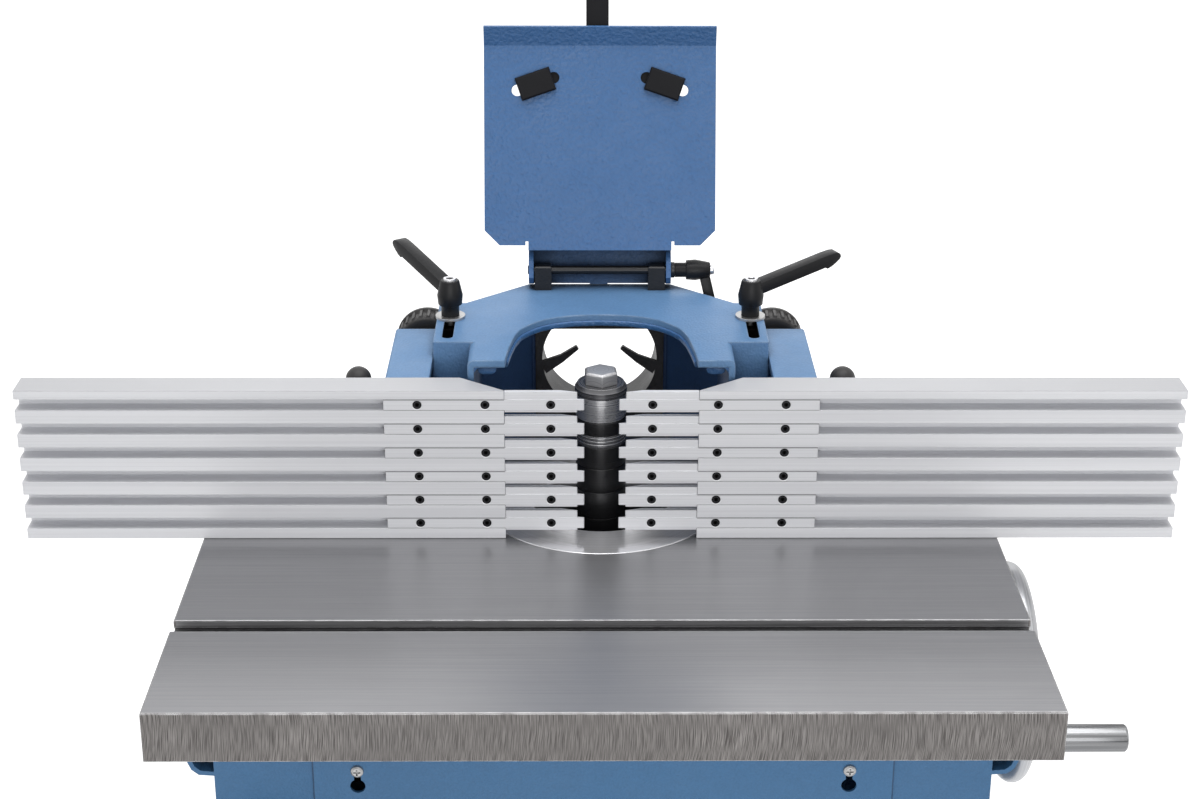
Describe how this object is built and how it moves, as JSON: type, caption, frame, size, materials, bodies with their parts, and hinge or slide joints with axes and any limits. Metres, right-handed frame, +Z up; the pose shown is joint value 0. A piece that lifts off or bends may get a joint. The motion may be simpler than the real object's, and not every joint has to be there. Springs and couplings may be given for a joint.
{
  "type": "spindle moulder",
  "caption": "Floor-standing spindle moulder: cast table, vertical spindle with handwheel lift, split ribbed fence with sliding fingers, clamped carriers and a hinged cover.",
  "frame": {"origin": "on the floor, at the middle of the overall box seen from above", "axes": "+X to the right of the operator, +Y from the operator to the back of the machine, +Z up along the spindle"},
  "size_m": [1.08, 0.6842, 1.4038],
  "materials": {
    "blue_paint": "satin textured enamel",
    "table_iron": "ground",
    "plain_iron": "as cast",
    "fence_aluminium": "brushed",
    "bright_steel": "turned",
    "chrome": "polished",
    "black_steel": "blackened",
    "black_plastic": "fine grain",
    "belt_rubber": "matt",
    "motor_grey": "satin",
    "start_green": "gloss",
    "stop_red": "gloss"
  },
  "bodies": {
    "cabinet": {"cabinet_shell": "blue_paint", "front_panel": "blue_paint", "panel_screws": "bright_steel", "table": "table_iron", "table_bolts": "bright_steel", "insert_ring": "bright_steel", "quill_guide": "plain_iron", "wheel_bush": "bright_steel", "switch_box": "black_plastic"},
    "start_button": {"start_button": "start_green"},
    "stop_button": {"stop_button": "stop_red"},
    "quill": {"quill": "plain_iron", "spindle_bearings": "bright_steel", "motor_bracket": "plain_iron", "motor": "motor_grey", "drive_belt": "belt_rubber"},
    "spindle": {"spindle": "bright_steel", "spindle_rings": "black_steel", "clamp_cap": "black_steel", "spindle_bolt": "bright_steel", "spindle_pulley": "plain_iron"},
    "motor_rotor": {"motor_shaft": "bright_steel", "motor_pulley": "plain_iron"},
    "lift_screw": {"lift_screw": "bright_steel"},
    "handwheel": {"handwheel": "chrome", "wheel_shaft": "bright_steel"},
    "crank_handle": {"crank_handle": "chrome"},
    "fence_housing": {"fence_housing": "blue_paint", "dust_port": "black_plastic", "hinge_blocks": "black_steel"},
    "cover": {"cover": "blue_paint", "hinge_pin": "bright_steel", "slot_nuts": "black_steel", "bar_holder": "black_steel"},
    "guard_bar": {"guard_bar": "black_steel"},
    "cover_lever": {"cover_lever": "black_plastic"},
    "left_carrier": {"left_carrier": "blue_paint", "left_carrier_bolts": "bright_steel"},
    "left_adjuster": {"left_adjuster": "black_plastic"},
    "left_clamp_lever": {"left_clamp_lever": "black_plastic"},
    "left_fence": {"left_fence": "fence_aluminium"},
    "left_table_clamp": {"left_table_clamp": "black_steel"},
    "finger_left_1": {"finger_left_1": "fence_aluminium"},
    "finger_left_2": {"finger_left_2": "fence_aluminium"},
    "finger_left_3": {"finger_left_3": "fence_aluminium"},
    "finger_left_4": {"finger_left_4": "fence_aluminium"},
    "finger_left_5": {"finger_left_5": "fence_aluminium"},
    "finger_left_6": {"finger_left_6": "fence_aluminium"},
    "right_carrier": {"right_carrier": "blue_paint", "right_carrier_bolts": "bright_steel"},
    "right_adjuster": {"right_adjuster": "black_plastic"},
    "right_clamp_lever": {"right_clamp_lever": "black_plastic"},
    "right_fence": {"right_fence": "fence_aluminium"},
    "right_table_clamp": {"right_table_clamp": "black_steel"},
    "finger_right_1": {"finger_right_1": "fence_aluminium"},
    "finger_right_2": {"finger_right_2": "fence_aluminium"},
    "finger_right_3": {"finger_right_3": "fence_aluminium"},
    "finger_right_4": {"finger_right_4": "fence_aluminium"},
    "finger_right_5": {"finger_right_5": "fence_aluminium"},
    "finger_right_6": {"finger_right_6": "fence_aluminium"}
  },
  "joints": [
    {"name": "start_press", "type": "slide", "parent": "cabinet", "child": "start_button", "axis": [0, 1, 0], "range_m": [0, 0.004], "stiffness_N_per_m": 400, "springref_m": -0.003},
    {"name": "stop_press", "type": "slide", "parent": "cabinet", "child": "stop_button", "axis": [0, 1, 0], "range_m": [0, 0.004], "stiffness_N_per_m": 400, "springref_m": -0.003},
    {"name": "handwheel_turn", "type": "hinge", "parent": "cabinet", "child": "handwheel", "pos_m": [0.3, -0.04912, 0.733], "axis": [1, 0, 0], "range_deg": [-900, 9000]},
    {"name": "crank_spin", "type": "hinge", "parent": "handwheel", "child": "crank_handle", "pos_m": [0.429, -0.14133, 0.71474], "axis": [1, 0, 0], "continuous": true},
    {"name": "lift_screw_turn", "type": "hinge", "parent": "cabinet", "child": "lift_screw", "pos_m": [0.11, -0.04912, 0.61], "axis": [0, 0, 1], "range_deg": [-910, 9010]},
    {"name": "quill_lift", "type": "slide", "parent": "cabinet", "child": "quill", "axis": [0, 0, 1], "range_m": [-0.1005, 0.0105]},
    {"name": "spindle_spin", "type": "hinge", "parent": "quill", "child": "spindle", "pos_m": [0, 0.06088, 0.86], "axis": [0, 0, 1], "continuous": true},
    {"name": "motor_spin", "type": "hinge", "parent": "quill", "child": "motor_rotor", "pos_m": [-0.19, 0.06088, 0.56], "axis": [0, 0, 1], "continuous": true},
    {"name": "housing_slide", "type": "slide", "parent": "cabinet", "child": "fence_housing", "axis": [0, 1, 0], "range_m": [-0.03, 0.03]},
    {"name": "cover_open", "type": "hinge", "parent": "fence_housing", "child": "cover", "pos_m": [0, 0.22188, 1.045], "axis": [1, 0, 0], "range_deg": [0, 107]},
    {"name": "bar_slide", "type": "slide", "parent": "cover", "child": "guard_bar", "axis": [0, 0.2924, 0.9563], "range_m": [-0.06, 0.02]},
    {"name": "cover_lever_turn", "type": "hinge", "parent": "cover", "child": "cover_lever", "pos_m": [0.09, 0.22188, 1.045], "axis": [1, 0, 0], "range_deg": [0, 60]},
    {"name": "left_adjuster_turn", "type": "hinge", "parent": "fence_housing", "child": "left_adjuster", "pos_m": [-0.1742, 0.17488, 0.9805], "axis": [0, 1, 0], "range_deg": [0, 7210]},
    {"name": "left_carrier_slide", "type": "slide", "parent": "fence_housing", "child": "left_carrier", "axis": [0, -1, 0], "range_m": [0, 0.04]},
    {"name": "left_lever_turn", "type": "hinge", "parent": "left_carrier", "child": "left_clamp_lever", "pos_m": [-0.147, 0.13388, 1.046], "axis": [0, 0, 1], "range_deg": [-40, 60]},
    {"name": "left_fence_slide", "type": "slide", "parent": "left_carrier", "child": "left_fence", "axis": [-1, 0, 0], "range_m": [0, 0.06]},
    {"name": "finger_left_1_slide", "type": "slide", "parent": "left_fence", "child": "finger_left_1", "axis": [1, 0, 0], "range_m": [0, 0.0155]},
    {"name": "finger_left_2_slide", "type": "slide", "parent": "left_fence", "child": "finger_left_2", "axis": [1, 0, 0], "range_m": [0, 0.0155]},
    {"name": "finger_left_3_slide", "type": "slide", "parent": "left_fence", "child": "finger_left_3", "axis": [1, 0, 0], "range_m": [0, 0.0155]},
    {"name": "finger_left_4_slide", "type": "slide", "parent": "left_fence", "child": "finger_left_4", "axis": [1, 0, 0], "range_m": [0, 0.0155]},
    {"name": "finger_left_5_slide", "type": "slide", "parent": "left_fence", "child": "finger_left_5", "axis": [1, 0, 0], "range_m": [0, 0.0155]},
    {"name": "finger_left_6_slide", "type": "slide", "parent": "left_fence", "child": "finger_left_6", "axis": [1, 0, 0], "range_m": [0, 0.0155]},
    {"name": "left_table_clamp_turn", "type": "hinge", "parent": "cabinet", "child": "left_table_clamp", "pos_m": [-0.238, 0.11288, 0.88], "axis": [0, 0, 1], "range_deg": [-40, 40]},
    {"name": "right_adjuster_turn", "type": "hinge", "parent": "fence_housing", "child": "right_adjuster", "pos_m": [0.1742, 0.17488, 0.9805], "axis": [0, 1, 0], "range_deg": [0, 7210]},
    {"name": "right_carrier_slide", "type": "slide", "parent": "fence_housing", "child": "right_carrier", "axis": [0, -1, 0], "range_m": [0, 0.04]},
    {"name": "right_lever_turn", "type": "hinge", "parent": "right_carrier", "child": "right_clamp_lever", "pos_m": [0.147, 0.13388, 1.046], "axis": [0, 0, 1], "range_deg": [-40, 60]},
    {"name": "right_fence_slide", "type": "slide", "parent": "right_carrier", "child": "right_fence", "axis": [1, 0, 0], "range_m": [0, 0.06]},
    {"name": "finger_right_1_slide", "type": "slide", "parent": "right_fence", "child": "finger_right_1", "axis": [-1, 0, 0], "range_m": [0, 0.0155]},
    {"name": "finger_right_2_slide", "type": "slide", "parent": "right_fence", "child": "finger_right_2", "axis": [-1, 0, 0], "range_m": [0, 0.0155]},
    {"name": "finger_right_3_slide", "type": "slide", "parent": "right_fence", "child": "finger_right_3", "axis": [-1, 0, 0], "range_m": [0, 0.0155]},
    {"name": "finger_right_4_slide", "type": "slide", "parent": "right_fence", "child": "finger_right_4", "axis": [-1, 0, 0], "range_m": [0, 0.0155]},
    {"name": "finger_right_5_slide", "type": "slide", "parent": "right_fence", "child": "finger_right_5", "axis": [-1, 0, 0], "range_m": [0, 0.0155]},
    {"name": "finger_right_6_slide", "type": "slide", "parent": "right_fence", "child": "finger_right_6", "axis": [-1, 0, 0], "range_m": [0, 0.0155]},
    {"name": "right_table_clamp_turn", "type": "hinge", "parent": "cabinet", "child": "right_table_clamp", "pos_m": [0.238, 0.11288, 0.88], "axis": [0, 0, 1], "range_deg": [-40, 40]}
  ],
  "couplings": [
    {"joint": "lift_screw_turn", "follows": "handwheel_turn", "ratio": 1},
    {"joint": "quill_lift", "follows": "handwheel_turn", "m_per_rad": -0.00063662},
    {"joint": "motor_spin", "follows": "spindle_spin", "ratio": 0.66667},
    {"joint": "left_adjuster_turn", "follows": "left_carrier_slide", "rad_per_m": 3141.6},
    {"joint": "right_adjuster_turn", "follows": "right_carrier_slide", "rad_per_m": 3141.6}
  ]
}
